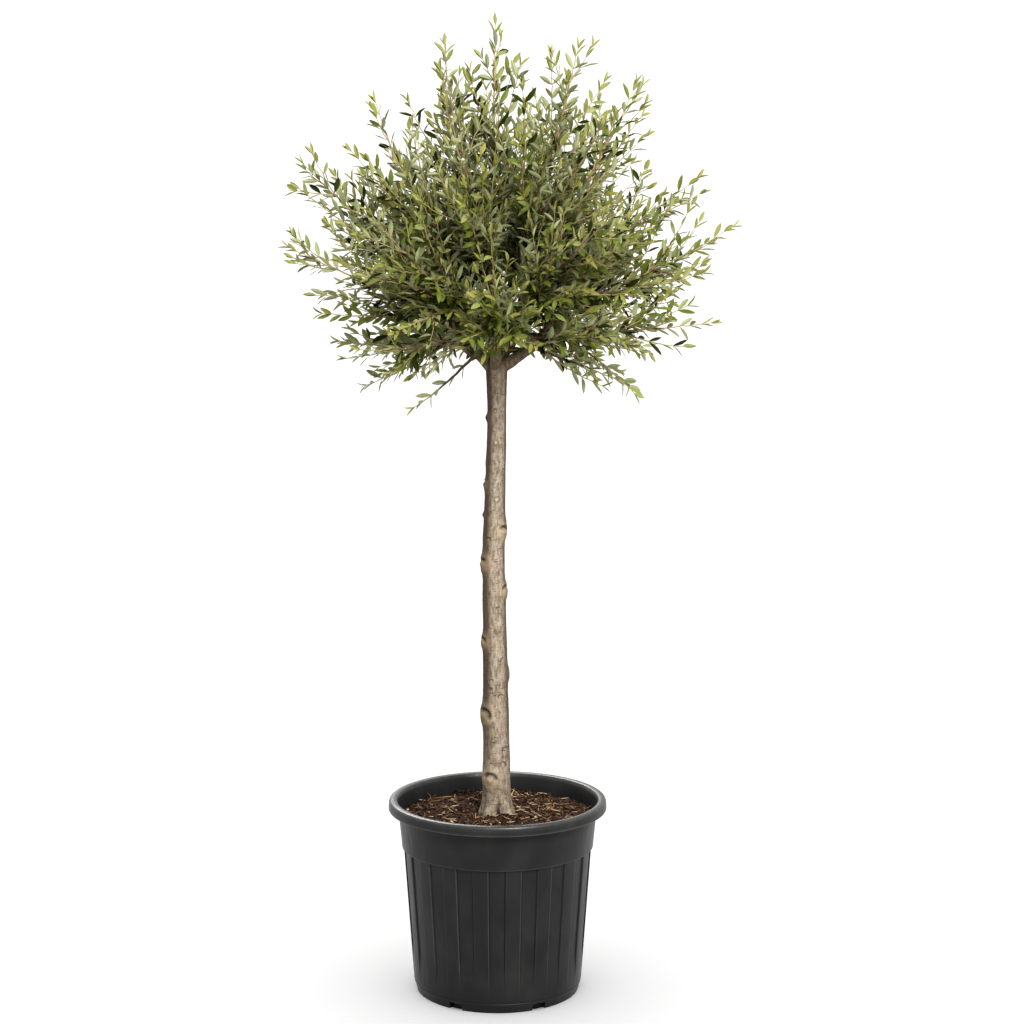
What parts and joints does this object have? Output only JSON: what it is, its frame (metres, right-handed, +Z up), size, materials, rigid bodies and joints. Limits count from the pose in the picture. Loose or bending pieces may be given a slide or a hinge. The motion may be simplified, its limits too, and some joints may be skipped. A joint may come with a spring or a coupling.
{
  "type": "potted olive tree",
  "caption": "Standard olive tree: a bare stem carries a round, open head of leafy shoots, and stands in a ribbed round nursery container filled with potting soil.",
  "frame": {"origin": "centre of the container's underside, on the surface it stands on", "axes": "+Z up along the stem; -Y is the front; +X is to the right seen from the front"},
  "size_m": [0.868, 0.7896, 1.8372],
  "materials": {
    "container_plastic": "moulded recycled plastic, satin",
    "potting_mix": "moist peat and bark fibre, rough",
    "bark": "smooth pale grey-beige bark",
    "foliage": "leathery leaves, grey-green above and silvery below"
  },
  "bodies": {
    "root": {"pot": "container_plastic", "potting_soil": "potting_mix", "trunk": "bark", "bough_left": "bark", "limb_left_high": "bark", "limb_left_low": "bark", "limb_skirt_left": "bark", "bough_centre": "bark", "limb_top_left": "bark", "limb_upper_left": "bark", "limb_upper_front": "bark", "bough_right": "bark", "limb_top_right": "bark", "limb_right_high": "bark", "limb_upper_back": "bark", "bough_right_low": "bark", "limb_right": "bark", "limb_skirt_right": "bark", "limb_front_right_low": "bark", "bough_front": "bark", "limb_front_right": "bark", "limb_front_left": "bark", "limb_front_left_low": "bark", "bough_back": "bark", "limb_back_right": "bark", "limb_back_left": "bark", "limb_back_right_low": "bark", "limb_back_left_low": "bark", "foliage_left": "foliage", "foliage_left_high": "foliage", "foliage_left_low": "foliage", "foliage_skirt_left": "foliage", "foliage_top": "foliage", "foliage_top_left": "foliage", "foliage_upper_left": "foliage", "foliage_upper_front": "foliage", "foliage_upper_right": "foliage", "foliage_top_right": "foliage", "foliage_right_high": "foliage", "foliage_upper_back": "foliage", "foliage_right_low": "foliage", "foliage_right": "foliage", "foliage_skirt_right": "foliage", "foliage_front_right_low": "foliage", "foliage_front": "foliage", "foliage_front_right": "foliage", "foliage_front_left": "foliage", "foliage_front_left_low": "foliage", "foliage_back": "foliage", "foliage_back_right": "foliage", "foliage_back_left": "foliage", "foliage_back_right_low": "foliage", "foliage_back_left_low": "foliage"}
  },
  "joints": []
}
